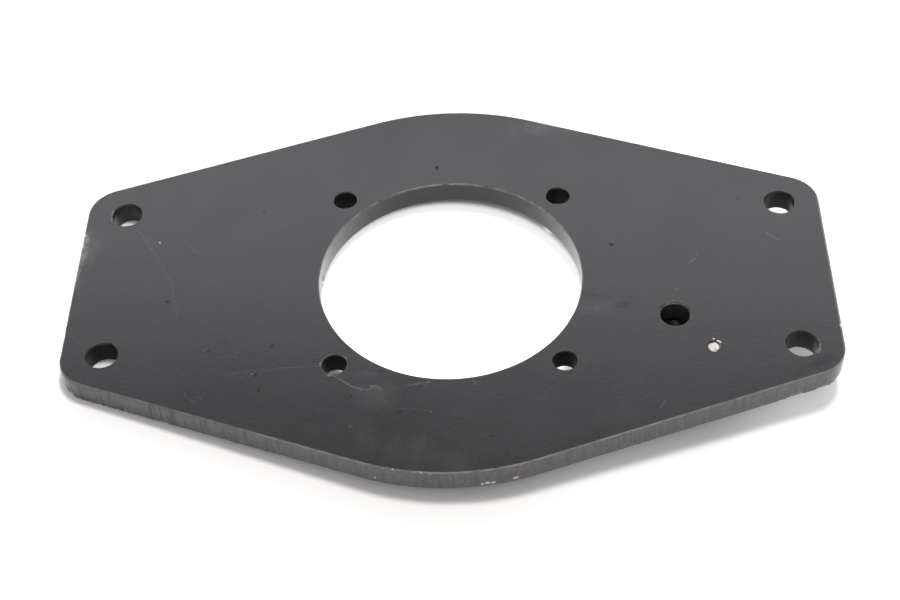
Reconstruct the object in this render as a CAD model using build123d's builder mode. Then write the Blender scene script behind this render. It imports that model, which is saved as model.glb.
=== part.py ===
# Motor mounting bracket: a flat steel plate with a motor bore, two bolt patterns, and a weld nut and a pin near one end.
# Millimetres. Origin on the axis of the motor bore at the underside of the plate, X along the plate, Z up through it.
import math
import os
from build123d import *

inch = 25.4

# Plate: cut from 3/8 in steel
plate_length = 11.55 * inch
plate_width = 7.375 * inch
plate_thickness = 0.375 * inch
flank_angle = 19.5          # slope of the four long sides against the X axis, degrees
apex_radius = 3.8 * inch    # the two wide turns, front and back
corner_radius = 0.55 * inch
edge_break = 0.4            # rubbed-down radius of the outline and the bore, top and bottom

# Motor bore and the four motor bolts, on a square around it
bore_diameter = 4.0 * inch
motor_bolt_land = 0.3865 * inch     # from the bore's edge out to the bolt circle
motor_bolt_clearance = 0.0625 * inch
motor_bolt_size = 0.3125 * inch

# Four frame bolts, one in each corner
frame_bolt_end_distance = 0.625 * inch
frame_bolt_spacing_y = 2.9 * inch
frame_bolt_clearance = 0.0425 * inch
frame_bolt_size = 0.4375 * inch

# Hexagon nut welded under the plate, below a plain hole that clears its bolt; 3/8 in coarse thread
nut_x = 3.35 * inch
nut_y = -0.83 * inch
nut_thread_size = 0.375 * inch
nut_thread_minor = 0.314 * inch     # the thread is a plain hole of its minor diameter
nut_hole_clearance = 0.0625 * inch
nut_hole_chamfer = 0.03 * inch
nut_across_flats = 0.5625 * inch
nut_height = 0.328125 * inch
nut_corner_angle = 30.0             # the corners are turned off at this angle, degrees
nut_mouth_margin = 0.1              # the thread's mouths are chamfered this far past the thread
weld_count = 3                      # one run of weld on every other flat
weld_leg = 0.125 * inch
weld_length = 0.2 * inch
weld_taper = 0.8                    # share of the leg over which a run slopes in

# Pin pressed through the plate beside the nut, standing out below
pin_x = 3.86 * inch
pin_y = -1.46 * inch
pin_diameter = 0.1875 * inch
pin_recess = 0.5            # its upper end stops this far below the top face
pin_projection = 0.25 * inch
pin_end_chamfer = 0.4

# The long sides meet in a point ahead of each apex arc; the same slope carries them to the two ends
apex_centre_y = plate_width / 2 - apex_radius
flank_peak_y = apex_centre_y + apex_radius / math.cos(math.radians(flank_angle))
flank_end_y = flank_peak_y - plate_length / 2 * math.tan(math.radians(flank_angle))
bolt_circle_radius = bore_diameter / 2 + motor_bolt_land
motor_bolt_spacing = bolt_circle_radius * math.sqrt(2)
motor_hole_radius = (motor_bolt_size + motor_bolt_clearance) / 2
frame_bolt_spacing_x = plate_length - 2 * frame_bolt_end_distance
frame_hole_radius = (frame_bolt_size + frame_bolt_clearance) / 2
nut_hole_radius = (nut_thread_size + nut_hole_clearance) / 2
nut_corner_radius = nut_across_flats / math.sqrt(3)
nut_corner_drop = (nut_corner_radius - nut_across_flats / 2) * math.tan(math.radians(nut_corner_angle))
nut_mouth_depth = (nut_thread_size - nut_thread_minor) / 2 + nut_mouth_margin
pin_radius = pin_diameter / 2

with BuildPart() as plate:
    with BuildSketch() as outline:
        with BuildLine():
            Polyline(
                (0, flank_peak_y),
                (plate_length / 2, flank_end_y),
                (plate_length / 2, -flank_end_y),
                (0, -flank_peak_y),
                (-plate_length / 2, -flank_end_y),
                (-plate_length / 2, flank_end_y),
                close=True,
            )
        make_face()
        across = outline.vertices().group_by(Axis.Y)
        fillet(across[0] + across[-1], radius=apex_radius)
        along = outline.vertices().group_by(Axis.X)
        fillet(along[0] + along[-1], radius=corner_radius)
        Circle(bore_diameter / 2, mode=Mode.SUBTRACT)
    extrude(amount=plate_thickness)
    # Only the outline and the bore are rubbed down; the drilled and burnt bolt holes keep their edges
    rims = plate.edges().filter_by_position(Axis.Z, 0, 0) + plate.edges().filter_by_position(
        Axis.Z, plate_thickness, plate_thickness
    )
    fillet(rims, radius=edge_break)
    with Locations((0, 0, plate_thickness)):
        with GridLocations(motor_bolt_spacing, motor_bolt_spacing, 2, 2):
            Hole(motor_hole_radius)
        with GridLocations(frame_bolt_spacing_x, frame_bolt_spacing_y, 2, 2):
            Hole(frame_hole_radius)
    with Locations((nut_x, nut_y, plate_thickness)):
        CounterSinkHole(
            radius=nut_hole_radius,
            counter_sink_radius=nut_hole_radius + nut_hole_chamfer,
            counter_sink_angle=90,
        )
    with Locations((pin_x, pin_y, plate_thickness)):
        Hole(pin_radius)
plate.part.label = "plate"

with BuildPart() as nut:
    with BuildSketch(Plane.XY.offset(-nut_height)):
        with Locations((nut_x, nut_y)):
            RegularPolygon(nut_across_flats / 2, side_count=6, major_radius=False)
    extrude(amount=nut_height)
    # Keep what lies inside a turned blank, so that the corners slope off towards both faces
    nut_axis = Axis((nut_x, nut_y, 0), (0, 0, 1))
    with BuildSketch(Plane(origin=(nut_x, nut_y, 0), x_dir=(1, 0, 0), z_dir=(0, -1, 0))):
        with BuildLine():
            Polyline(
                (0, 0),
                (nut_across_flats / 2, 0),
                (nut_corner_radius, -nut_corner_drop),
                (nut_corner_radius, nut_corner_drop - nut_height),
                (nut_across_flats / 2, -nut_height),
                (0, -nut_height),
                close=True,
            )
        make_face()
    revolve(axis=nut_axis, mode=Mode.INTERSECT)
    with Locations((nut_x, nut_y, 0)):
        Hole(nut_thread_minor / 2)
    mouths = nut.edges().filter_by(GeomType.CIRCLE).filter_by(lambda e: e.radius < nut_thread_size / 2)
    chamfer(mouths, length=nut_mouth_depth)
nut.part.label = "nut"

with BuildPart() as nut_welds:
    with BuildSketch():
        with Locations((nut_x, nut_y)):
            with PolarLocations(nut_across_flats / 2, weld_count, start_angle=90):
                SlotCenterToCenter(weld_length, 2 * weld_leg, rotation=90)
    extrude(amount=-weld_leg * weld_taper, taper=45)
    # Each run keeps only what lies outside the nut
    add(nut.part, mode=Mode.SUBTRACT)
    with Locations((nut_x, nut_y, 0)):
        Cylinder(
            (nut_across_flats + nut_thread_size) / 4,
            weld_leg,
            align=(Align.CENTER, Align.CENTER, Align.MAX),
            mode=Mode.SUBTRACT,
        )
nut_welds.part.label = "nut_welds"

with BuildPart() as pin:
    with Locations((pin_x, pin_y, -pin_projection)):
        Cylinder(
            pin_radius,
            pin_projection + plate_thickness - pin_recess,
            align=(Align.CENTER, Align.CENTER, Align.MIN),
        )
    chamfer(pin.edges().group_by(Axis.Z)[0], length=pin_end_chamfer)
pin.part.label = "pin"

os.makedirs("parts", exist_ok=True)
export_step(plate.part, "parts/plate.step")
export_step(nut.part, "parts/nut.step")
export_step(nut_welds.part, "parts/nut_welds.step")
export_step(pin.part, "parts/pin.step")
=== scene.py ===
import math

import bmesh
import bpy
from mathutils import Matrix, Vector, noise


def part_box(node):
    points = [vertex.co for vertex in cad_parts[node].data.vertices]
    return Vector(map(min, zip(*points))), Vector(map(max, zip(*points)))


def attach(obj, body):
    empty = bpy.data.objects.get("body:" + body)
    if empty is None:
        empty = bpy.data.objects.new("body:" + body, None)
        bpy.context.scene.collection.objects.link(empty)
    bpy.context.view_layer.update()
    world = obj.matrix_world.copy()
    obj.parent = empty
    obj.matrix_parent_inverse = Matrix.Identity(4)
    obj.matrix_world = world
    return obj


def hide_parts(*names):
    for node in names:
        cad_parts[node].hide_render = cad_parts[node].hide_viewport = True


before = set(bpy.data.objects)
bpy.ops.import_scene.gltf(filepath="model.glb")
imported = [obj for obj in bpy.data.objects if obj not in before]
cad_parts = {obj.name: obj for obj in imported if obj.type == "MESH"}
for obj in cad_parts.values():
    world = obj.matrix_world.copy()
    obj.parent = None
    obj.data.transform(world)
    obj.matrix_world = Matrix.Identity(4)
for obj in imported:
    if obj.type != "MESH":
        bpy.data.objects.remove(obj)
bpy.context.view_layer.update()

# The plate is 3/8 in mild steel, flame-cut to its six-sided outline, with a bored centre and burnt or drilled
# bolt holes. Its faces carry satin black paint over mill scale. Its cut edges keep their drag lines under the
# paint.
mm = 0.001
inch = 0.0254
plate_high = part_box("plate")[1]
half_length = plate_high.x
half_width = plate_high.y
plate_top = plate_high.z
flank_angle = math.radians(19.5)
apex_radius = 3.8 * inch
corner_radius = 0.55 * inch
edge_break = 0.4 * mm
hole_edge_break = 0.12 * mm
rim_level = 9.5             # millimetres up to the top rim, for the cuts' relief
cut_pitch = 0.42 * mm       # between points along the outline
flame_row = 0.55 * mm       # between rows up a flame-cut wall
bored_row = 0.6 * mm        # and up a bored one
same_point = 1e-6
bore_radius = 2.0 * inch
motor_hole_radius = 0.1875 * inch
motor_hole_reach = (bore_radius + 0.3865 * inch) / math.sqrt(2)
frame_hole_radius = 0.24 * inch
frame_hole_x = half_length - 0.625 * inch
frame_hole_y = 1.45 * inch
nut_low, nut_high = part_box("nut")
nut_centre = (nut_low + nut_high) / 2
nut_hole_radius = 0.21875 * inch
nut_hole_chamfer = 0.03 * inch
pin_low, pin_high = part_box("pin")
pin_centre = (pin_low + pin_high) / 2
pin_radius = (pin_high.x - pin_low.x) / 2
pin_hole_chamfer = 0.25 * mm

plate_mesh = bmesh.new()
on_wall = plate_mesh.verts.layers.float.new("cut")
on_rim = plate_mesh.verts.layers.float.new("rim")
drag_here = plate_mesh.verts.layers.float.new("drag")
matt_here = plate_mesh.verts.layers.float.new("matt")
column_of = plate_mesh.verts.layers.int.new("column")


def ease(value, start, end):
    """Goes smoothly from 0 at start to 1 at end."""
    share = min(1.0, max(0.0, (value - start) / (end - start)))
    return share * share * (3 - 2 * share)


def ripple(*place):
    """Noise from 0 to 1 at a place given in wavelengths."""
    return 0.5 + 0.5 * noise.noise(Vector(place))


def edge_profile(broken, spacing):
    """Rows of (setback, height) from the underside to the top, both rims rounded to the radius broken."""
    turns = 5
    arc = [math.pi / 2 * k / turns for k in range(turns + 1)]
    low = [(broken * (1 - math.sin(a)), broken * (1 - math.cos(a))) for a in arc]
    steps = max(2, round((plate_top - 2 * broken) / spacing))
    middle = [(0.0, broken + (plate_top - 2 * broken) * k / steps) for k in range(1, steps)]
    high = [(setback, plate_top - height) for setback, height in reversed(low)]
    return low + middle + high


def raise_wall(ring, inward, profile, relief, drag, grey, matt):
    """Extrudes a closed ring of vertices up the rows of a profile and gives it the relief of its cut.

    ring holds the vertices in order, inward the direction into the steel at each of them. drag tells how
    strongly a place shows the torch's drag lines, grey how pale the wall is painted there, from thin dusty
    paint and painted light, matt how dull.
    Returns the edges of the lowest and the highest row.
    """
    along = [0.0]
    for before, after in zip(ring, ring[1:]):
        along.append(along[-1] + (after.co - before.co).length)
    places = [v.co.copy() for v in ring]
    for number, vert in enumerate(ring):
        vert[column_of] = number
    edges = [plate_mesh.edges.get((a, b)) for a, b in zip(ring, ring[1:] + ring[:1])]
    lowest, verts = edges, ring
    for row, (setback, height) in enumerate(profile):
        if row:
            made = bmesh.ops.extrude_edge_only(plate_mesh, edges=edges)["geom"]
            verts = [g for g in made if isinstance(g, bmesh.types.BMVert)]
            edges = [g for g in made if isinstance(g, bmesh.types.BMEdge) and g.is_boundary]
        flat = row in (0, len(profile) - 1)
        for vert in verts:
            number = vert[column_of]
            depth = setback + relief(places[number], along[number], height)
            vert.co = places[number] + inward[number] * depth + Vector((0, 0, height))
            vert[on_wall] = 0.0 if flat else grey(places[number])
            vert[drag_here] = 0.0 if flat else drag(places[number])
            vert[matt_here] = 0.0 if flat else matt
            vert[on_rim] = 1.0 if height > plate_top - 0.9 * mm and not flat else 0.0
    return lowest, edges


# Outline: one quarter from its two arcs, mirrored twice, with straight cuts divided to the same pitch
apex_centre = Vector((0, half_width - apex_radius, 0))
flank_out = Vector((math.sin(flank_angle), math.cos(flank_angle), 0))
corner_x = half_length - corner_radius
corner_y = apex_centre.y + (apex_radius - corner_radius - corner_x * flank_out.x) / flank_out.y
corner_centre = Vector((corner_x, corner_y, 0))
corner_turn = math.pi / 2 - flank_angle


def spin_arc(centre, start, angle):
    """Sweeps one vertex round a centre and returns it and the far end of the arc."""
    first = plate_mesh.verts.new(start)
    radius = (start - centre).length
    bmesh.ops.spin(
        plate_mesh, geom=[first], cent=centre, axis=(0, 0, 1), angle=angle,
        steps=math.ceil(radius * angle / cut_pitch), use_merge=False,
    )
    plate_mesh.verts.ensure_lookup_table()
    return first, plate_mesh.verts[-1]


end_start, end_finish = spin_arc(corner_centre, corner_centre + Vector((corner_radius, 0, 0)), corner_turn)
apex_start = spin_arc(apex_centre, apex_centre + flank_out * apex_radius, flank_angle)[0]
end_middle = plate_mesh.verts.new((half_length, 0, 0))
straights = [
    plate_mesh.edges.new((end_middle, end_start)),
    plate_mesh.edges.new((end_finish, apex_start)),
]
for straight in straights:
    cuts = round(straight.calc_length() / cut_pitch) - 1
    bmesh.ops.subdivide_edges(plate_mesh, edges=[straight], cuts=cuts)
for axis in "XY":
    everything = plate_mesh.verts[:] + plate_mesh.edges[:]
    bmesh.ops.mirror(plate_mesh, geom=everything, merge_dist=same_point, axis=axis)
bmesh.ops.remove_doubles(plate_mesh, verts=plate_mesh.verts[:], dist=same_point)
outline = sorted(plate_mesh.verts, key=lambda v: math.atan2(v.co.y, v.co.x))
outline_in = []
for before, after in zip(outline[-1:] + outline[:-1], outline[1:] + outline[:1]):
    tangent = (after.co - before.co).normalized()
    outline_in.append(Vector((-tangent.y, tangent.x, 0)))


def roughly_cut(place):
    """Where the torch ran badly: worst at the front left, a little at the back left."""
    x, y = place.x / mm, place.y / mm
    front_left = ease(-x, 40, 115) * ease(-y, 0, 30)
    return 0.22 + 0.78 * front_left + 0.3 * ease(-x, 60, 120) * ease(y, 20, 60)


def outline_relief(place, along, height):
    """Depth of the flame cut below the true outline: drag lines, a melted top edge and slag notches."""
    x, y, s, h = place.x / mm, place.y / mm, along / mm, height / mm
    coarse = roughly_cut(place)
    front_left = ease(coarse, 0.5, 1.0) * ease(-y, 0, 30)
    lag = 1.6 * (1 - h / rim_level) ** 2
    fine = ripple((s - lag) / 0.85, h / 14, 1.7)
    broad = ripple((s - lag) / 2.6, h / 20, 7.3)
    wave = ripple(s / 38, h / 30, 3.1)
    depth = 0.03 + 0.1 * wave + coarse * (0.05 * fine + 0.05 * broad)
    melted = ease(h, 8.4, rim_level) * (0.05 + 0.32 * front_left * ripple(s / 3.2, 0.5, 2.2))
    notch = ease(ripple(s / 1.5, 4.4, 0.3), 0.58, 0.7) * ease(2.6 - h, 0, 2.2) * 0.28 * front_left
    steps = ease(ripple(s / 5.5, 0.2, 8.8), 0.42, 0.52) * ease(1.3 - h, 0, 0.5) * 0.36
    steps *= ease(x, 108, 122) * ease(-y, 25, 40)
    return (depth + melted + notch + steps) * mm


top_loops, low_loops = [], []


def cut_hole(centre, radius, segments, profile, relief, drag, grey=lambda place: 0.0, matt=0.0):
    """Makes one hole's wall: a circle of vertices raised through the plate."""
    ring = bmesh.ops.create_circle(
        plate_mesh, cap_ends=False, segments=segments, radius=radius,
        matrix=Matrix.Translation((centre[0], centre[1], 0)),
    )["verts"]
    ring.sort(key=lambda v: math.atan2(v.co.y - centre[1], v.co.x - centre[0]))
    outward = [Vector((v.co.x - centre[0], v.co.y - centre[1], 0)).normalized() for v in ring]
    low, high = raise_wall(ring, outward, profile, relief, lambda place: drag, grey, matt)
    low_loops.extend(low)
    top_loops.extend(high)


def bore_sheen_grey(place):
    """The bored wall is painted paler at its left and right, a painted sheen where it turns edge-on."""
    return 0.02 + 0.98 * ease(abs(place.x) / mm, 22, 50)


def bore_relief(place, along, height):
    """A bored wall is nearly true, with faint feed marks and a shallow tool nick on the left."""
    s, h = along / mm, height / mm
    x, y = place.x / mm + 50.3, place.y / mm - 6.5
    nick = 0.5 * math.exp(-(x ** 2 + y ** 2) / 0.5) * ease(4.5 - h, 0, 1.5)
    return (0.015 * ripple(s / 30, h / 0.9, 5.0) + 0.02 * ripple(s / 9, h / 6, 1.0) + nick) * mm


def burnt_relief(centre, pierce_angle, pierce_depth, seed):
    """A burnt hole is a little out of round, has drag lines, and a pointed nick where the torch came in."""
    def relief(place, along, height):
        s, h = along / mm, height / mm
        angle = math.atan2(place.y - centre[1], place.x - centre[0])
        away = abs((angle - pierce_angle + math.pi) % (2 * math.pi) - math.pi)
        pierce = pierce_depth * math.exp(-away / 0.17) * (0.35 + 0.65 * ease(h, 2, 8))
        lobes = 0.09 * math.sin(2 * angle + seed) + 0.06 * math.sin(3 * angle + 2.1 * seed)
        lines = 0.1 * ripple(s / 1.1, h / 9, seed) + 0.1 * ripple(s / 3.7, h / 5, seed + 4)
        ragged = 0.16 * ease(h, 8.6, rim_level) * ripple(s / 1.8, 0.4, seed + 9)
        return (lobes + lines + ragged + pierce - 0.1) * mm
    return relief


def drilled_relief(seed):
    """A drilled hole keeps its size, with light scoring and a slightly torn mouth."""
    def relief(place, along, height):
        s, h = along / mm, height / mm
        torn = 0.14 * ease(h, 8.9, rim_level) * ripple(s / 1.4, 0.7, seed)
        return (0.05 * ripple(s / 2.4, h / 3.0, seed) + torn) * mm
    return relief


def chamfered_profile(depth, spacing):
    """Rows of a hole whose top rim is chamfered at 45 degrees."""
    straight = plate_top - depth
    steps, turns = round(straight / spacing), 5
    rows = [(0.0, straight * k / steps) for k in range(steps + 1)]
    return rows + [(depth * k / turns, straight + depth * k / turns) for k in range(1, turns + 1)]


cut_hole(
    (0, 0), bore_radius, 560, edge_profile(edge_break, bored_row), bore_relief,
    drag=0.08, grey=bore_sheen_grey, matt=0.2,
)
sharp = edge_profile(hole_edge_break, flame_row)
for x, y, pierce_angle, pierce_depth, seed, matt in (
    (-frame_hole_x, -frame_hole_y, 1.15, 0.85, 1.3, 0.9),
    (frame_hole_x, -frame_hole_y, 1.65, 0.6, 2.9, 0.5),
    (-frame_hole_x, frame_hole_y, 0.6, 0.15, 4.2, 0.3),
    (frame_hole_x, frame_hole_y, 2.4, 0.1, 5.5, 0.4),
):
    burnt = burnt_relief((x, y), pierce_angle, pierce_depth, seed)
    cut_hole((x, y), frame_hole_radius, 128, sharp, burnt, drag=0.6, matt=matt)
for x, y, seed in (
    (-motor_hole_reach, -motor_hole_reach, 6.1),
    (motor_hole_reach, -motor_hole_reach, 7.4),
    (-motor_hole_reach, motor_hole_reach, 8.2),
    (motor_hole_reach, motor_hole_reach, 9.6),
):
    cut_hole((x, y), motor_hole_radius, 88, sharp, drilled_relief(seed), drag=0.2, matt=1.0)
cut_hole(
    nut_centre.xy, nut_hole_radius, 112, chamfered_profile(nut_hole_chamfer, bored_row), drilled_relief(11.7),
    drag=0.7, grey=lambda place: 0.35, matt=1.0,
)
cut_hole(
    pin_centre.xy, pin_radius, 64, chamfered_profile(pin_hole_chamfer, 0.8 * mm), drilled_relief(12.8),
    drag=0.1, matt=1.0,
)

low_edges, high_edges = raise_wall(
    outline, outline_in, edge_profile(edge_break, flame_row), outline_relief,
    drag=roughly_cut, grey=lambda place: 1.0, matt=0.0,
)
low_loops += low_edges
top_loops += high_edges

# The fill joins points closer than 0.03 units and stumbles over points in line, so the faces are filled at
# millimetre scale and turned by an odd angle
enlarged = Matrix.Rotation(0.1337, 4, "Z") @ Matrix.Scale(1 / mm, 4)
bmesh.ops.transform(plate_mesh, verts=plate_mesh.verts[:], matrix=enlarged)
for loops, up in ((low_loops, -1), (top_loops, 1)):
    bmesh.ops.triangle_fill(plate_mesh, use_beauty=True, edges=loops, normal=(0, 0, up))
bmesh.ops.transform(plate_mesh, verts=plate_mesh.verts[:], matrix=enlarged.inverted())
bmesh.ops.recalc_face_normals(plate_mesh, faces=plate_mesh.faces[:])
for face in plate_mesh.faces:
    face.smooth = len(face.verts) == 4
plate_mesh.verts.layers.int.remove(column_of)


def new_piece(name, shape):
    """Puts a finished bmesh into the scene and returns its object and its mesh."""
    data = bpy.data.meshes.new(name)
    shape.to_mesh(data)
    shape.free()
    piece = bpy.data.objects.new(name, data)
    bpy.context.scene.collection.objects.link(piece)
    return piece, data


plate, plate_data = new_piece("plate_steel", plate_mesh)


def add(tree, kind, inputs=None, **settings):
    """Adds one shader node; its inputs are values, or the sockets that feed them."""
    made = tree.nodes.new(kind)
    for name, value in settings.items():
        setattr(made, name, value)
    for name, value in (inputs or {}).items():
        if isinstance(value, bpy.types.NodeSocket):
            tree.links.new(value, made.inputs[name])
        else:
            made.inputs[name].default_value = value
    return made


def maths(tree, operation, first, second=0.0, clamp=False):
    """One Math node's result."""
    return add(tree, "ShaderNodeMath", {0: first, 1: second}, operation=operation, use_clamp=clamp).outputs[0]


def vectors(tree, operation, first, second=(0, 0, 0)):
    """One Vector Math node."""
    return add(tree, "ShaderNodeVectorMath", {0: first, 1: second}, operation=operation)


def grade(tree, value, low, high, start=0.0, end=1.0):
    """Maps a value smoothly from the range low..high to start..end."""
    return add(
        tree, "ShaderNodeMapRange",
        {"Value": value, "From Min": low, "From Max": high, "To Min": start, "To Max": end},
        interpolation_type="SMOOTHSTEP",
    ).outputs["Result"]


def blend_colour(tree, share, first, second):
    """Goes from the first colour to the second by a share."""
    made = add(tree, "ShaderNodeMix", data_type="RGBA")
    for socket, value in ((made.inputs["Factor"], share), (made.inputs[6], first), (made.inputs[7], second)):
        if isinstance(value, bpy.types.NodeSocket):
            tree.links.new(value, socket)
        else:
            socket.default_value = value
    return made.outputs[2]


def grain(tree, place, scale, detail=2.0, stretch=(1, 1, 1), roughness=0.5):
    """Noise from 0 to 1 at a place in millimetres; scale is in lumps per millimetre."""
    stretched = vectors(tree, "MULTIPLY", place, stretch).outputs[0]
    return add(
        tree, "ShaderNodeTexNoise",
        {"Vector": stretched, "Scale": scale, "Detail": detail, "Roughness": roughness},
    ).outputs["Fac"]


# Shapes that wear leaves in paint, as small groups: a line between two points, and a spot
scratch_group = bpy.data.node_groups.new("scratch_line", "ShaderNodeTree")
for name, kind in (("Place", "NodeSocketVector"), ("Start", "NodeSocketVector"), ("End", "NodeSocketVector"),
                   ("Width", "NodeSocketFloat")):
    scratch_group.interface.new_socket(name, in_out="INPUT", socket_type=kind)
scratch_group.interface.new_socket("Share", in_out="OUTPUT", socket_type="NodeSocketFloat")
entry = scratch_group.nodes.new("NodeGroupInput").outputs
ending = scratch_group.nodes.new("NodeGroupOutput").inputs
from_start = vectors(scratch_group, "SUBTRACT", entry["Place"], entry["Start"]).outputs[0]
whole = vectors(scratch_group, "SUBTRACT", entry["End"], entry["Start"]).outputs[0]
reach = vectors(scratch_group, "DOT_PRODUCT", from_start, whole).outputs["Value"]
square = vectors(scratch_group, "DOT_PRODUCT", whole, whole).outputs["Value"]
travelled = maths(scratch_group, "DIVIDE", reach, square, clamp=True)
nearest = add(
    scratch_group, "ShaderNodeVectorMath", {0: whole, "Scale": travelled}, operation="SCALE",
).outputs[0]
off_line = vectors(scratch_group, "SUBTRACT", from_start, nearest).outputs[0]
distance = vectors(scratch_group, "LENGTH", off_line).outputs["Value"]
narrow = maths(scratch_group, "DIVIDE", distance, entry["Width"])
scratch_group.links.new(grade(scratch_group, narrow, 0.25, 1.0, 1.0, 0.0), ending["Share"])

spot_group = bpy.data.node_groups.new("worn_spot", "ShaderNodeTree")
for name in ("Place", "Centre", "Size"):
    spot_group.interface.new_socket(name, in_out="INPUT", socket_type="NodeSocketVector")
spot_group.interface.new_socket("Core", in_out="INPUT", socket_type="NodeSocketFloat")
spot_group.interface.new_socket("Share", in_out="OUTPUT", socket_type="NodeSocketFloat")
entry = spot_group.nodes.new("NodeGroupInput").outputs
ending = spot_group.nodes.new("NodeGroupOutput").inputs
from_centre = vectors(spot_group, "SUBTRACT", entry["Place"], entry["Centre"]).outputs[0]
in_sizes = vectors(spot_group, "DIVIDE", from_centre, entry["Size"]).outputs[0]
radius_share = vectors(spot_group, "LENGTH", in_sizes).outputs["Value"]
spot_group.links.new(grade(spot_group, radius_share, entry["Core"], 1.0, 1.0, 0.0), ending["Share"])


def scratches(tree, place, lines):
    """The strongest of several scratches: (start, end, width, strength), in millimetres on the top face."""
    top = plate_top / mm
    total = None
    for start, end, width, strength in lines:
        line = add(tree, "ShaderNodeGroup", node_tree=scratch_group)
        for name, value in (("Start", (*start, top)), ("End", (*end, top)), ("Width", width)):
            line.inputs[name].default_value = value
        tree.links.new(place, line.inputs["Place"])
        share = maths(tree, "MULTIPLY", line.outputs["Share"], strength)
        total = share if total is None else maths(tree, "MAXIMUM", total, share)
    return total


def spots(tree, place, places, core=0.55):
    """The strongest of several spots: (centre, size, strength), in millimetres, even up to the share core."""
    total = None
    for centre, size, strength in places:
        spot = add(tree, "ShaderNodeGroup", node_tree=spot_group)
        spot.inputs["Centre"].default_value = centre
        spot.inputs["Size"].default_value = size
        spot.inputs["Core"].default_value = core
        tree.links.new(place, spot.inputs["Place"])
        share = maths(tree, "MULTIPLY", spot.outputs["Share"], strength)
        total = share if total is None else maths(tree, "MAXIMUM", total, share)
    return total


def new_material(name):
    """A material with its tree, its shader and object coordinates in millimetres."""
    made = bpy.data.materials.new(name)
    made.use_nodes = True
    tree = made.node_tree
    tree.nodes.clear()
    shader = add(tree, "ShaderNodeBsdfPrincipled", {"Specular IOR Level": 0.44})
    output = add(tree, "ShaderNodeOutputMaterial")
    tree.links.new(shader.outputs[0], output.inputs["Surface"])
    coordinates = add(tree, "ShaderNodeTexCoord").outputs["Object"]
    place = add(tree, "ShaderNodeVectorMath", {0: coordinates, "Scale": 1 / mm}, operation="SCALE").outputs[0]
    return made, tree, shader, place


paint, tree, shader, place = new_material("satin_black_paint")
deep_paint = (0.009, 0.009, 0.0098, 1)
clouded_paint = (0.014, 0.014, 0.0152, 1)
speckled_paint = (0.019, 0.019, 0.020, 1)
wall_paint_and_light = (0.080, 0.075, 0.077, 1)
dusty_wall_and_light = (0.138, 0.130, 0.134, 1)
trough_shade_paint = (0.045, 0.042, 0.043, 1)
smear_grey = (0.088, 0.086, 0.086, 1)
scratch_grey = (0.15, 0.15, 0.153, 1)
rubbed_rim_and_highlight = (0.25, 0.245, 0.25, 1)
browned_rim = (0.36, 0.28, 0.23, 1)
dull_steel = (0.42, 0.40, 0.36, 1)
clean_steel = (0.72, 0.70, 0.64, 1)
flaked_cream_and_highlight = (0.30, 0.285, 0.235, 1)
rubbed_pale = (0.30, 0.29, 0.285, 1)
rust_brown = (0.035, 0.020, 0.012, 1)
top = plate_top / mm
cut = add(tree, "ShaderNodeAttribute", attribute_name="cut").outputs["Fac"]
rim = add(tree, "ShaderNodeAttribute", attribute_name="rim").outputs["Fac"]
drag = add(tree, "ShaderNodeAttribute", attribute_name="drag").outputs["Fac"]
wander = add(tree, "ShaderNodeTexNoise", {"Vector": place, "Scale": 0.35, "Detail": 2.0}).outputs["Color"]
wander = vectors(tree, "SUBTRACT", wander, (0.5, 0.5, 0.5)).outputs[0]
wander = add(tree, "ShaderNodeVectorMath", {0: wander, "Scale": 1.1}, operation="SCALE").outputs[0]
unsteady = vectors(tree, "ADD", place, wander).outputs[0]

# Fine and broad unevenness of the sprayed paint
peel = grain(tree, place, 0.9, detail=3.0)
cloud = grain(tree, place, 0.035, detail=4.0, roughness=0.6)
speck = grain(tree, place, 1.6, detail=1.0)
colour = blend_colour(tree, grade(tree, cloud, 0.35, 0.7), deep_paint, clouded_paint)
colour = blend_colour(tree, grade(tree, speck, 0.6, 0.8), colour, speckled_paint)

# Cut walls: thinner paint over drag lines, greyer than the faces, with light painted into their colour;
# palest towards the top, which is painted light
parts = add(tree, "ShaderNodeSeparateXYZ", {0: place}).outputs
streak = grain(tree, place, 0.8, detail=3.0, stretch=(1, 1, 0.08))
streak_broad = grain(tree, place, 0.22, detail=2.0, stretch=(1, 1, 0.12))
mottle = grain(tree, place, 0.6, detail=4.0, roughness=0.6)
dust_and_top_light = maths(tree, "ADD", maths(tree, "MULTIPLY", streak, 0.45), maths(tree, "MULTIPLY", mottle, 0.55))
dust_and_top_light = grade(tree, dust_and_top_light, 0.35, 0.65, 0.0, 0.8)
# Painted light: the wall grows paler towards its top
dust_and_top_light = maths(tree, "ADD", dust_and_top_light, grade(tree, parts["Z"], 3.0, 9.0, 0.0, 0.35))
wall_colour = blend_colour(tree, dust_and_top_light, wall_paint_and_light, dusty_wall_and_light)
# Painted shade: the troughs of the drag lines are darkened
painted_trough_shade = maths(tree, "MULTIPLY", drag, grade(tree, streak, 0.36, 0.5, 0.8, 0.0))
wall_colour = blend_colour(tree, painted_trough_shade, wall_colour, trough_shade_paint)
colour = blend_colour(tree, cut, colour, wall_colour)

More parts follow.
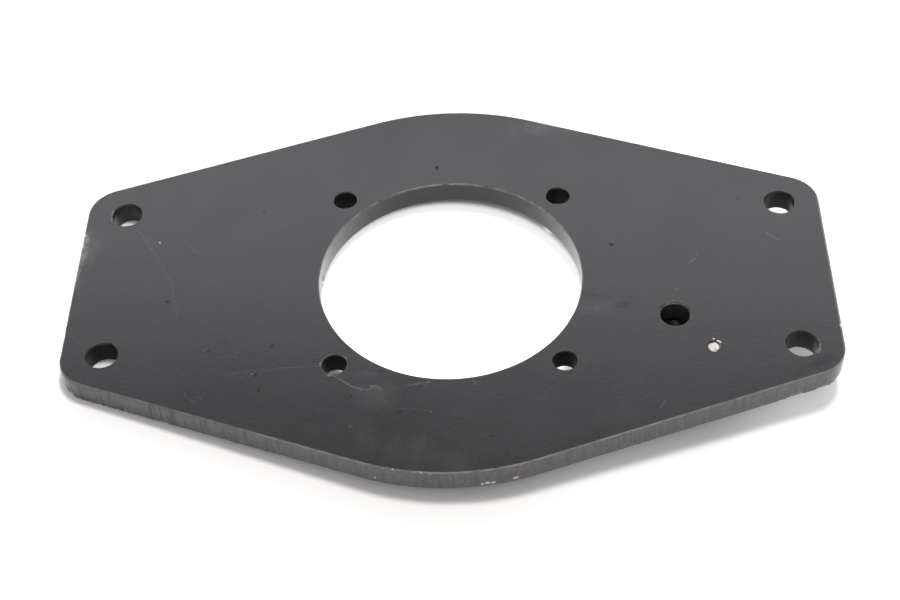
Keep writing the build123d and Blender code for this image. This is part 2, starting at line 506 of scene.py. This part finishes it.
# Handling scratches, and hazy rubbed places
lines = scratches(tree, unsteady, (
    ((-125.9, 29.4), (-114.3, 10.6), 0.34, 0.55),
    ((-114.3, 10.6), (-108.2, -1.8), 0.32, 0.45),
    ((-108.2, -1.8), (-103.8, -19.9), 0.28, 0.3),
    ((-106.9, 22.3), (-98.9, 14.5), 0.32, 0.5),
    ((-98.9, 14.5), (-93.0, 8.5), 0.28, 0.25),
    ((-82.1, -46.9), (-65.0, -44.6), 0.34, 0.3),
    ((-65.0, -44.6), (-48.0, -43.8), 0.30, 0.35),
    ((-97.5, -55.5), (-96.5, -57.5), 0.60, 0.28),
    ((-94.5, -59.0), (-92.8, -60.2), 0.65, 0.28),
    ((-92.0, -57.5), (-91.0, -58.0), 0.55, 0.25),
    ((-44.2, -46.7), (-41.8, -49.2), 0.42, 0.9),
    ((-41.8, -49.2), (-35.7, -53.8), 0.42, 1.0),
    ((-35.7, -53.8), (-31.9, -55.3), 0.42, 0.9),
    ((-31.9, -55.3), (-29.7, -55.1), 0.45, 0.8),
    ((-29.7, -55.1), (-27.2, -53.5), 0.55, 0.9),
    ((-27.2, -53.5), (-24.9, -55.2), 0.55, 0.9),
    ((-29.0, -53.8), (-25.3, -56.1), 0.45, 0.6),
    ((-15.1, -53.5), (-7.0, -52.2), 0.50, 0.95),
    ((-9.2, -54.6), (-7.8, -51.8), 0.38, 0.5),
    ((9.0, -51.6), (10.1, -54.8), 0.36, 0.4),
    ((91.5, 3.6), (94.5, 6.7), 0.34, 0.65),
    ((94.5, 6.7), (96.0, 8.8), 0.34, 0.6),
    ((96.0, 8.8), (96.1, 11.7), 0.30, 0.55),
    ((92.8, 6.6), (94.9, 7.6), 0.30, 0.45),
    ((123.6, 20.2), (128.4, 16.0), 0.55, 0.6),
    ((84.4, -9.9), (87.5, -8.5), 0.32, 0.5),
    ((76.2, -66.1), (78.2, -62.9), 0.42, 0.35),
    ((33.0, -62.5), (35.5, -60.0), 0.30, 0.35),
))
drift = add(tree, "ShaderNodeTexNoise", {"Vector": place, "Scale": 0.06, "Detail": 1.0}).outputs["Color"]
drift = vectors(tree, "SUBTRACT", drift, (0.5, 0.5, 0.5)).outputs[0]
drift = vectors(tree, "MULTIPLY", drift, (9.0, 9.0, 0.0)).outputs[0]
smears = spots(tree, vectors(tree, "ADD", place, drift).outputs[0], (
    ((-27.0, -58.5, top), (12.0, 8.0, 3.0), 0.45),
    ((-30.0, -49.4, top), (6.5, 4.0, 3.0), 0.3),
    ((-29.5, -79.0, top), (7.0, 14.0, 3.0), 0.26),
    ((-20.3, -84.0, top), (6.5, 13.0, 3.0), 0.3),
    ((-10.8, -83.0, top), (9.5, 14.0, 3.0), 0.28),
    ((1.0, -88.0, top), (10.0, 7.0, 3.0), 0.22),
    ((56.5, -16.3, top), (12.0, 5.0, 3.0), 0.35),
    ((42.0, 84.3, top), (25.0, 9.0, 3.0), 0.75),
    ((-146.4, 18.5, top), (9.0, 17.0, 3.0), 0.8),
    ((-145.8, 2.0, top), (5.0, 12.0, 3.0), 0.5),
), core=0.0)
smear_grain = grain(tree, place, 0.3, detail=3.0, stretch=(1, 0.35, 1))
smears = maths(tree, "MULTIPLY", smears, grade(tree, smear_grain, 0.25, 0.7, 0.3, 1.1))
colour = blend_colour(tree, maths(tree, "MULTIPLY", smears, 0.75), colour, smear_grey)
lines = maths(tree, "MULTIPLY", lines, grade(tree, grain(tree, place, 0.5, detail=3.0), 0.3, 0.55, 0.4, 1.0))
colour = blend_colour(tree, maths(tree, "MULTIPLY", lines, 0.6), colour, scratch_grey)

# Places where the gloss is rubbed off
dulled = scratches(tree, unsteady, (
    ((51.9, -10.3), (60.3, -13.2), 2.4, 0.4),
    ((62.6, -16.4), (67.4, -15.9), 2.4, 0.6),
    ((51.8, 0.9), (54.4, 0.9), 0.5, 0.6),
    ((51.8, -0.6), (54.4, -0.6), 0.5, 0.6),
    ((51.8, -2.2), (54.4, -2.2), 0.5, 0.6),
    ((126.4, -50.9), (134.2, -46.9), 2.4, 0.4),
    ((134.2, -46.9), (139.7, -43.7), 3.2, 0.65),
))

# Worn paint along the top rim of the outline and the bore, made paler still as a painted highlight line
patches = grain(tree, place, 0.25, detail=4.0)
rim_wear_and_highlight = maths(tree, "MULTIPLY", rim, grade(tree, patches, 0.3, 0.62, 0.25, 1.0))
rim_wear_and_highlight = maths(tree, "MULTIPLY", rim_wear_and_highlight, grade(tree, drag, 0.3, 0.7, 1.0, 0.45))
colour = blend_colour(tree, rim_wear_and_highlight, colour, rubbed_rim_and_highlight)
right_edge = grade(tree, parts["X"], 145.5, 146.3, 0.0, 0.6)
right_edge = maths(tree, "MULTIPLY", grade(tree, parts["Z"], 8.8, 9.3), right_edge)
colour = blend_colour(tree, right_edge, colour, browned_rim)

# Chips through to bright steel
chips = spots(tree, unsteady, (
    ((13.9, -93.1, 1.9), (1.4, 1.8, 1.1), 1.0),
    ((15.8, -93.0, 1.6), (1.2, 1.8, 1.0), 1.0),
    ((12.0, -93.2, 1.6), (0.8, 1.6, 0.8), 0.9),
    ((24.0, -91.1, 2.0), (1.6, 1.8, 1.0), 1.0),
    ((-26.3, -90.4, 2.4), (0.7, 1.4, 0.7), 0.8),
    ((-19.6, -91.2, 9.1), (0.6, 0.7, 0.45), 0.6),
    ((-22.8, -90.6, 9.3), (0.45, 0.5, 0.4), 0.5),
    ((-9.9, -93.0, 9.2), (0.6, 0.6, 0.4), 0.6),
    ((-6.4, -93.2, 8.8), (0.5, 0.6, 0.5), 0.6),
    ((-1.0, -93.5, 9.1), (0.5, 0.5, 0.3), 0.4),
    ((-115.6, 20.9, top), (0.55, 0.4, 1.0), 1.0),
    ((146.3, -28.3, 9.2), (0.8, 1.3, 0.9), 1.0),
    ((-146.1, 25.6, top), (0.8, 0.8, 1.0), 0.9),
    ((-146.3, 20.5, 9.2), (0.8, 2.6, 0.7), 0.7),
    ((98.4, -33.9, top), (0.6, 0.45, 1.0), 1.0),
    ((99.9, -35.1, top), (0.8, 0.55, 1.0), 0.9),
    ((100.7, -35.7, top), (0.8, 0.55, 1.0), 0.95),
    ((97.9, -39.85, top), (1.5, 0.6, 1.0), 1.0),
    ((-79.8, -36.4, top), (0.40, 0.36, 1.0), 0.45),
    ((-6.6, -66.1, top), (0.38, 0.38, 1.0), 0.45),
))
chip_edge = grade(tree, chips, 0.35, 0.6)
bare = blend_colour(tree, grade(tree, speck, 0.3, 0.7), dull_steel, clean_steel)
colour = blend_colour(tree, chip_edge, colour, bare)

# Cream flakes in the mouths of some bolt holes, and a cream painted highlight on the far chamfer of the nut's
# hole
cream_and_highlight = spots(tree, unsteady, (
    ((137.0, -37.5, top), (0.5, 4.6, 0.9), 0.7),
    ((135.9, -40.8, top), (0.8, 1.3, 0.8), 0.5),
    ((-136.5, 37.0, top), (0.8, 4.2, 0.9), 0.6),
    ((-136.6, 35.5, 5.5), (1.4, 4.2, 4.5), 0.35),
    ((-48.0, -43.0, top), (0.6, 1.6, 0.6), 0.8),
    ((-39.0, -40.0, top), (0.8, 1.2, 0.6), 0.6),
    ((-44.0, -48.3, top), (3.4, 0.7, 0.7), 0.5),
    # painted highlight: the far chamfer of the nut's hole, lightened to cream
    ((83.0, -15.5, 8.85), (4.4, 0.9, 0.45), 1.0),
))
flaky = grade(tree, grain(tree, place, 0.7, detail=3.0), 0.35, 0.6)
cream_and_highlight = maths(tree, "MULTIPLY", cream_and_highlight, flaky)
colour = blend_colour(tree, cream_and_highlight, colour, flaked_cream_and_highlight)

# Paint rubbed pale along the left edge
pale = spots(tree, unsteady, (
    ((-146.3, 23.5, top), (3.4, 5.5, 2.0), 0.5),
    ((-146.1, 15.0, top), (3.2, 9.0, 2.0), 0.5),
    ((-145.9, 5.0, top), (1.1, 6.0, 2.0), 0.5),
), core=0.1)
pale = maths(tree, "MULTIPLY", pale, grade(tree, mottle, 0.3, 0.6, 0.4, 1.0))
colour = blend_colour(tree, pale, colour, rubbed_pale)

# Brown bare steel low on the right front edge, and a stain beside the pin
rust = spots(tree, unsteady, (
    ((132.0, -47.5, 0.2), (9.0, 5.0, 1.5), 1.0),
    ((119.0, -52.5, 0.2), (4.5, 2.5, 0.9), 0.8),
    ((97.0, -36.0, 9.2), (2.6, 2.0, 0.8), 0.6),
))
colour = blend_colour(tree, maths(tree, "MULTIPLY", rust, 0.8), colour, rust_brown)
tree.links.new(colour, shader.inputs["Base Color"])

# Pits in the mill scale
pits = spots(tree, unsteady, (
    ((-36.7, -58.7, top), (1.4, 1.1, 1.0), 1.0),
    ((-17.8, -66.1, top), (1.0, 0.8, 1.0), 0.9),
    ((-13.1, -66.4, top), (1.2, 0.8, 1.0), 0.9),
    ((-91.0, -36.0, top), (1.6, 0.7, 1.0), 0.5),
    ((-66.9, -33.5, top), (1.2, 0.8, 1.0), 0.5),
    ((-72.5, -47.8, top), (1.3, 0.8, 1.0), 0.6),
    ((-70.5, -54.8, top), (1.1, 0.8, 1.0), 0.8),
    ((14.9, -78.0, top), (1.0, 0.8, 1.0), 0.9),
    ((20.4, -85.1, top), (0.9, 1.3, 1.0), 0.9),
    ((62.8, 15.6, top), (0.9, 0.8, 1.0), 1.0),
    ((-6.0, 60.3, top), (0.7, 1.1, 1.0), 0.8),
    ((-34.8, -72.5, top), (1.4, 0.9, 1.0), 0.7),
    ((-109.2, -10.4, top), (1.2, 0.8, 1.0), 0.5),
    ((-129.0, -58.0, top), (1.2, 1.0, 1.0), 0.5),
))

# Gloss: satin on the faces, duller on cuts, in pits and in scratches; rubbed places reflect less
gloss = grade(tree, cloud, 0.3, 0.75, 0.23, 0.27)
gloss = maths(tree, "ADD", gloss, maths(tree, "MULTIPLY", cut, 0.07))
gloss = maths(tree, "ADD", gloss, maths(tree, "MULTIPLY", lines, 0.05))
gloss = maths(tree, "ADD", gloss, maths(tree, "MULTIPLY", pits, 0.3))
matt = add(tree, "ShaderNodeAttribute", attribute_name="matt").outputs["Fac"]
gloss = maths(tree, "ADD", gloss, maths(tree, "MULTIPLY", matt, 0.3), clamp=True)
tree.links.new(gloss, shader.inputs["Roughness"])
shine = grade(tree, matt, 0.0, 1.0, 0.44, 0.14)
shine = maths(tree, "SUBTRACT", shine, maths(tree, "MULTIPLY", dulled, 0.15), clamp=True)
tree.links.new(shine, shader.inputs["Specular IOR Level"])
tree.links.new(maths(tree, "MULTIPLY", chip_edge, 0.2), shader.inputs["Metallic"])

# Relief: orange peel, pits, chips and drag lines
pit_rows = add(
    tree, "ShaderNodeTexVoronoi", {"Vector": place, "Scale": 0.11, "Randomness": 1.0},
).outputs["Distance"]
pit_here = grade(tree, grain(tree, place, 0.05, detail=2.0), 0.5, 0.65)
small_pits = maths(tree, "MULTIPLY", grade(tree, pit_rows, 0.03, 0.07, 1.0, 0.0), pit_here)
flat_face = maths(tree, "SUBTRACT", 1.0, cut)
small_pits = maths(tree, "MULTIPLY", small_pits, flat_face)
depth = maths(tree, "MULTIPLY", peel, 0.030)
depth = maths(tree, "ADD", depth, maths(tree, "MULTIPLY", maths(tree, "MULTIPLY", streak, drag), 0.06))
depth = maths(tree, "ADD", depth, maths(tree, "MULTIPLY", maths(tree, "MULTIPLY", streak_broad, drag), 0.05))
depth = maths(tree, "SUBTRACT", depth, maths(tree, "MULTIPLY", pits, 0.2))
depth = maths(tree, "SUBTRACT", depth, maths(tree, "MULTIPLY", small_pits, 0.06))
depth = maths(tree, "SUBTRACT", depth, maths(tree, "MULTIPLY", chip_edge, 0.08))
bump = add(tree, "ShaderNodeBump", {"Height": depth, "Strength": 1.0, "Distance": mm})
tree.links.new(bump.outputs[0], shader.inputs["Normal"])
plate_data.materials.append(paint)
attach(plate, "root")
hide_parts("plate")

# The nut under the plate is a 3/8-16 hexagon weld nut, its corners turned off at 30 degrees and its thread
# cut right through. It carries the same black paint.
nut_flats = (nut_high.y - nut_low.y) / 2
nut_corner = nut_flats / math.cos(math.pi / 6)
nut_height = nut_high.z - nut_low.z
thread_pitch = inch / 16
thread_crest = 0.157 * inch
thread_root = 0.1875 * inch
nut_sides = 144
corner_rounding = 0.12 * mm

nut_mesh = bmesh.new()
corner_drop = (nut_corner - nut_flats) * math.tan(math.radians(30))
outer = [
    (nut_flats, nut_low.z), (nut_corner, nut_low.z + corner_drop),
    (nut_corner, nut_high.z - corner_drop), (nut_flats, nut_high.z),
]
mouth = thread_root + 0.1 * mm
thread_rows = 84
profile = [(mouth, nut_low.z), *outer, (mouth, nut_high.z)]
profile += [(thread_crest, nut_high.z - nut_height * k / thread_rows) for k in range(1, thread_rows)]
ring = [nut_mesh.verts.new((nut_centre.x + r, nut_centre.y, z)) for r, z in profile]
chain = [nut_mesh.edges.new(pair) for pair in zip(ring, ring[1:] + ring[:1])]
for edge, cuts in zip(chain[:5], (3, 5, 7, 5, 3)):
    bmesh.ops.subdivide_edges(nut_mesh, edges=[edge], cuts=cuts)
bmesh.ops.spin(
    nut_mesh, geom=nut_mesh.verts[:] + nut_mesh.edges[:], cent=nut_centre, axis=(0, 0, 1),
    angle=2 * math.pi, steps=nut_sides, use_merge=True,
)
for vert in nut_mesh.verts:
    flat = vert.co - nut_centre
    angle = math.atan2(flat.y, flat.x)
    reach = math.hypot(flat.x, flat.y)
    if reach > mouth - 0.01 * mm:
        side = (angle % (math.pi / 3)) - math.pi / 6
        hexagon = min(nut_flats / math.cos(side), nut_corner - corner_rounding)
        new_reach = min(reach, hexagon)
    else:
        turn = ((vert.co.z - nut_low.z) / thread_pitch - angle / (2 * math.pi)) % 1.0
        flank = max(0.0, 1.0 - abs(turn - 0.5) / 0.44)
        new_reach = thread_crest + (thread_root - thread_crest) * min(1.0, flank * 1.08)
        from_face = min(vert.co.z - nut_low.z, nut_high.z - vert.co.z)
        new_reach = max(new_reach, mouth - from_face)
    vert.co.x = nut_centre.x + flat.x / reach * new_reach
    vert.co.y = nut_centre.y + flat.y / reach * new_reach
bmesh.ops.remove_doubles(nut_mesh, verts=nut_mesh.verts[:], dist=same_point)
bmesh.ops.recalc_face_normals(nut_mesh, faces=nut_mesh.faces[:])
nut, nut_data = new_piece("nut_threaded", nut_mesh)
nut_data.set_sharp_from_angle(angle=math.radians(28))
for polygon in nut_data.polygons:
    polygon.use_smooth = True
nut_data.materials.append(paint)
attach(nut, "root")
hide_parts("nut")

# Three short runs of wire weld hold the nut, one on every other flat. Each is a rippled bead laid into the
# corner between the nut and the plate, painted over with the rest.
weld_leg = 0.125 * inch
weld_half_length = 0.1 * inch + weld_leg
ripple_pitch = 1.15         # millimetres along the bead
weld_mesh = bmesh.new()
for run in range(3):
    bead = bmesh.ops.create_uvsphere(weld_mesh, u_segments=56, v_segments=64, radius=1.0)["verts"]
    heading = math.pi / 2 + run * 2 * math.pi / 3
    out = Vector((math.cos(heading), math.sin(heading), 0))
    side = Vector((-out.y, out.x, 0))
    root = Vector((nut_centre.x, nut_centre.y, 0)) + out * nut_flats
    for vert in bead:
        length_share = math.asin(max(-1.0, min(1.0, vert.co.z))) / (math.pi / 2)
        around = math.atan2(vert.co.y, vert.co.x)
        across = math.hypot(vert.co.x, vert.co.y) ** 0.7
        s = length_share * weld_half_length / mm + 0.5 * math.cos(around * 2) + 20 * run
        crest = 0.5 + 0.5 * math.cos(2 * math.pi * (s + 0.3 * ripple(s / 2, 0.1, run)) / ripple_pitch)
        reach = weld_leg * across * (0.86 + 0.07 * crest + 0.05 * ripple(s / 1.7, around, run + 3.3))
        vert.co = root + side * (length_share * weld_half_length * 0.97)
        vert.co += out * (reach * math.cos(around)) + Vector((0, 0, 0.8 * reach * math.sin(around)))
        vert.co.z = min(vert.co.z, 0.3 * mm)
        inside = (vert.co - root).dot(out) + 0.6 * mm
        if inside < 0:
            vert.co -= out * inside
bmesh.ops.remove_doubles(weld_mesh, verts=weld_mesh.verts[:], dist=same_point)
bmesh.ops.dissolve_degenerate(weld_mesh, edges=weld_mesh.edges[:], dist=same_point)
bmesh.ops.recalc_face_normals(weld_mesh, faces=weld_mesh.faces[:])
welds, weld_data = new_piece("weld_runs", weld_mesh)
for polygon in weld_data.polygons:
    polygon.use_smooth = True
weld_data.materials.append(paint)
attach(welds, "root")
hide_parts("nut_welds")

# The pin beside the nut is 3/16 in bright steel, pressed in from below until its end is half a millimetre
# under the top face. That end is bare and slightly battered; paint has crept round its edge, and brown
# painted shade darkens its left and back, where the recess shades it.
pin_chamfer = 0.4 * mm
battered_depth = 0.3 * mm
bare_steel = (0.80, 0.76, 0.69, 1)
filed_steel = (0.60, 0.585, 0.53, 1)
brown_painted_shade = (0.10, 0.045, 0.030, 1)
crept_paint = (0.016, 0.016, 0.017, 1)
pin_mesh = bmesh.new()
pin_profile = [
    (0.0, pin_low.z), (pin_radius - pin_chamfer, pin_low.z), (pin_radius, pin_low.z + pin_chamfer),
    (pin_radius, pin_high.z - pin_chamfer), (pin_radius - 0.35 * mm, pin_high.z), (0.0, pin_high.z),
]
ring = [pin_mesh.verts.new((pin_centre.x + r, pin_centre.y, z)) for r, z in pin_profile]
chain = [pin_mesh.edges.new(pair) for pair in zip(ring, ring[1:])]
for edge, cuts in zip(chain, (8, 3, 24, 4, 14)):
    bmesh.ops.subdivide_edges(pin_mesh, edges=[edge], cuts=cuts)
bmesh.ops.spin(
    pin_mesh, geom=pin_mesh.verts[:] + pin_mesh.edges[:], cent=pin_centre, axis=(0, 0, 1),
    angle=2 * math.pi, steps=72, use_merge=True,
)
bmesh.ops.remove_doubles(pin_mesh, verts=pin_mesh.verts[:], dist=1e-7)
for vert in pin_mesh.verts:
    flat = vert.co - pin_centre
    if flat.z > 0 and pin_high.z - vert.co.z < battered_depth:
        x, y = flat.x / mm, flat.y / mm
        dent = 0.16 * ripple(x / 1.3, y / 1.3, 0.4) + 0.1 * ripple(x / 0.5, y / 0.5, 2.4)
        torn = 0.5 * ease(math.hypot(x - 1.0, y + 2.3), 1.1, 0.3)
        vert.co.z -= (dent + torn) * mm
bmesh.ops.recalc_face_normals(pin_mesh, faces=pin_mesh.faces[:])
pin, pin_data = new_piece("pin_steel", pin_mesh)
for polygon in pin_data.polygons:
    polygon.use_smooth = True
pin_data.set_sharp_from_angle(angle=math.radians(35))

steel, tree, shader, place = new_material("bright_pin_steel")
turned = grain(tree, place, 3.0, detail=3.0, stretch=(1, 1, 4))
filed = grain(tree, place, 1.3, detail=3.0, stretch=(1, 0.2, 1))
colour = blend_colour(tree, grade(tree, filed, 0.35, 0.65), filed_steel, bare_steel)
pin_x, pin_y = pin_centre.x / mm, pin_centre.y / mm
# Painted shade: a brown crescent darkens the left and back of the pin's end
pin_end_shade = spots(tree, place, (
    ((pin_x - 1.3, pin_y + 2.2, pin_high.z / mm), (2.2, 1.1, 1.0), 1.0),
))
from_axis = vectors(tree, "SUBTRACT", place, (pin_x + 0.2, pin_y - 0.15, 0)).outputs[0]
from_axis = vectors(tree, "MULTIPLY", from_axis, (1, 1, 0)).outputs[0]
from_axis = vectors(tree, "LENGTH", from_axis).outputs["Value"]
height = add(tree, "ShaderNodeSeparateXYZ", {0: place}).outputs["Z"]
shade_crescent_ring = grade(tree, from_axis, 1.95, 2.15, 0.0, 0.9)
shade_crescent_ring = maths(tree, "MULTIPLY", shade_crescent_ring, grade(tree, height, 8.0, 8.4))
pin_end_shade = maths(tree, "MAXIMUM", pin_end_shade, shade_crescent_ring)
colour = blend_colour(tree, pin_end_shade, colour, brown_painted_shade)
paint_creep = maths(tree, "MULTIPLY", grade(tree, height, -1.6, 0.4), grade(tree, height, 7.5, 8.3, 1.0, 0.0))
colour = blend_colour(tree, paint_creep, colour, crept_paint)
tree.links.new(colour, shader.inputs["Base Color"])
bright = maths(tree, "SUBTRACT", 1.0, maths(tree, "MAXIMUM", paint_creep, pin_end_shade))
tree.links.new(maths(tree, "MULTIPLY", bright, 0.2), shader.inputs["Metallic"])
tree.links.new(grade(tree, turned, 0.3, 0.7, 0.30, 0.46), shader.inputs["Roughness"])
bump = add(tree, "ShaderNodeBump", {"Height": turned, "Strength": 0.5, "Distance": 0.04 * mm})
tree.links.new(bump.outputs[0], shader.inputs["Normal"])
pin_data.materials.append(steel)
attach(pin, "root")
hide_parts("pin")

# The bracket lies on a white table. The nut keeps its right end up, so the table's plane runs from the
# plate's left lower edge to the near side of the nut's lower face.
rest_left = -half_length + edge_break
nut_foot = nut_centre.x - 0.87 * nut_corner
slope = -nut_low.z / (nut_foot - rest_left)
table_mesh = bmesh.new()
bmesh.ops.create_grid(table_mesh, x_segments=1, y_segments=1, size=6.0)
bmesh.ops.transform(
    table_mesh, verts=table_mesh.verts[:],
    matrix=Matrix.Translation((rest_left, 0, 0)) @ Matrix.Rotation(math.atan(slope), 4, "Y"),
)
table, table_data = new_piece("table", table_mesh)
white, tree, shader, place = new_material("white_table")
tree.nodes.remove(shader)
rays = add(tree, "ShaderNodeLightPath").outputs
seen = maths(tree, "MAXIMUM", rays["Is Glossy Ray"], rays["Is Transmission Ray"])
seen = maths(tree, "MAXIMUM", rays["Is Camera Ray"], seen)
table_white = (0.85, 0.85, 0.85, 1)
seen_white = (1.22, 1.215, 1.205, 1)
shown = blend_colour(tree, seen, table_white, seen_white)
diffuse = add(tree, "ShaderNodeBsdfDiffuse", {"Color": shown})

# The camera sees the table lifted towards white far out, and painted light in the bore, over the right half,
# at the right end and under two motor holes, which lightens the shadows there
away = vectors(tree, "LENGTH", place).outputs["Value"]
across = add(tree, "ShaderNodeSeparateXYZ", {0: place}).outputs["X"]
far_out = grade(tree, away, 260.0, 900.0)
painted_light_in_bore = grade(tree, away, 53.0, 56.4, 0.6, 0.0)
painted_light_right_half = grade(tree, across, 0.0, 60.0, 0.0, 0.07)
painted_light_right_end = grade(tree, across, 90.0, 135.0, 0.0, 0.18)
painted_light_under_holes = spots(tree, place, (
    ((44.5, -32.7, -7.1), (14.0, 14.0, 8.0), 0.28),
    ((-44.0, -36.3, -3.8), (14.0, 14.0, 8.0), 0.07),
), core=0.3)
white_and_painted_light = far_out
for area in (painted_light_in_bore, painted_light_right_half, painted_light_right_end, painted_light_under_holes):
    white_and_painted_light = maths(tree, "ADD", white_and_painted_light, area)
white_and_painted_light = maths(tree, "MULTIPLY", white_and_painted_light, seen)
glow = add(tree, "ShaderNodeEmission", {"Color": (1, 1, 1, 1), "Strength": white_and_painted_light})

# From below the table is clear, so that the underside can be looked at
both = add(tree, "ShaderNodeAddShader", {0: diffuse.outputs[0], 1: glow.outputs[0]})
clear = add(tree, "ShaderNodeBsdfTransparent")
from_below = add(tree, "ShaderNodeNewGeometry").outputs["Backfacing"]
surface = add(tree, "ShaderNodeMixShader", {0: from_below, 1: both.outputs[0], 2: clear.outputs[0]})
output = [n for n in tree.nodes if n.type == "OUTPUT_MATERIAL"][0]
tree.links.new(surface.outputs[0], output.inputs["Surface"])
table_data.materials.append(white)

# Studio: an even pale surround, a wide softbox low behind, a small one high up and a weak one in front
world = bpy.data.worlds.new("studio")
bpy.context.scene.world = world
world.use_nodes = True
tree = world.node_tree
tree.nodes.clear()
rays = add(tree, "ShaderNodeLightPath").outputs
seen = maths(tree, "MAXIMUM", rays["Is Camera Ray"], rays["Is Transmission Ray"])
surround_light = (0.345, 0.338, 0.336, 1)
level = blend_colour(tree, seen, surround_light, (1, 1, 1, 1))
surround = add(tree, "ShaderNodeBackground", {"Color": level})
sky = add(tree, "ShaderNodeOutputWorld")
tree.links.new(surround.outputs[0], sky.inputs["Surface"])


def softbox(name, place, aim, width, height, power, colour=(1, 1, 1)):
    """A soft rectangular studio light."""
    data = bpy.data.lights.new(name, "AREA")
    data.shape = "RECTANGLE"
    data.size = width
    data.size_y = height
    data.energy = power
    data.color = colour
    light = bpy.data.objects.new(name, data)
    light.location = place
    light.rotation_euler = (Vector(aim) - Vector(place)).to_track_quat("-Z", "Y").to_euler()
    bpy.context.scene.collection.objects.link(light)
    return light


bracket_centre = (0, 0, 0)
softbox(
    "back_softbox", (0.06, 1.255, 1.2215), bracket_centre,
    width=2.4, height=0.445, power=9.5, colour=(1.0, 0.965, 1.035),
)
softbox("overhead", (0.18, 0.23, 1.7), bracket_centre, width=0.32, height=0.32, power=14.0)
softbox("front_fill", (-0.2, -1.2, 1.3), bracket_centre, width=0.9, height=0.7, power=2.7)

# A softbox below the table reaches the bracket alone, so that its underside can be seen
below_table = softbox("under_softbox", (0, 0.6, -1.04), bracket_centre, width=1.6, height=1.2, power=7.0)
bracket = bpy.data.collections.new("bracket")
for piece in (plate, nut, welds, pin):
    bracket.objects.link(piece)
below_table.light_linking.receiver_collection = bracket
below_table.light_linking.blocker_collection = bracket

# Camera: 70 mm, held level above the front long side; it leans against the bracket, which lies on a slope
camera_data = bpy.data.cameras.new("camera")
camera_data.lens = 70.0
camera_data.sensor_width = 36.0
camera_data.clip_start = 0.01
camera_data.clip_end = 50.0
camera = bpy.data.objects.new("camera", camera_data)
camera.location = (0.02268, -0.45616, 0.50965)
tilt, lean, heading = 41.586, 2.152, 0.504
camera.rotation_euler = (math.radians(tilt), math.radians(lean), math.radians(heading))
bpy.context.scene.collection.objects.link(camera)
bpy.context.scene.camera = camera
bpy.context.scene.view_settings.view_transform = "Standard"
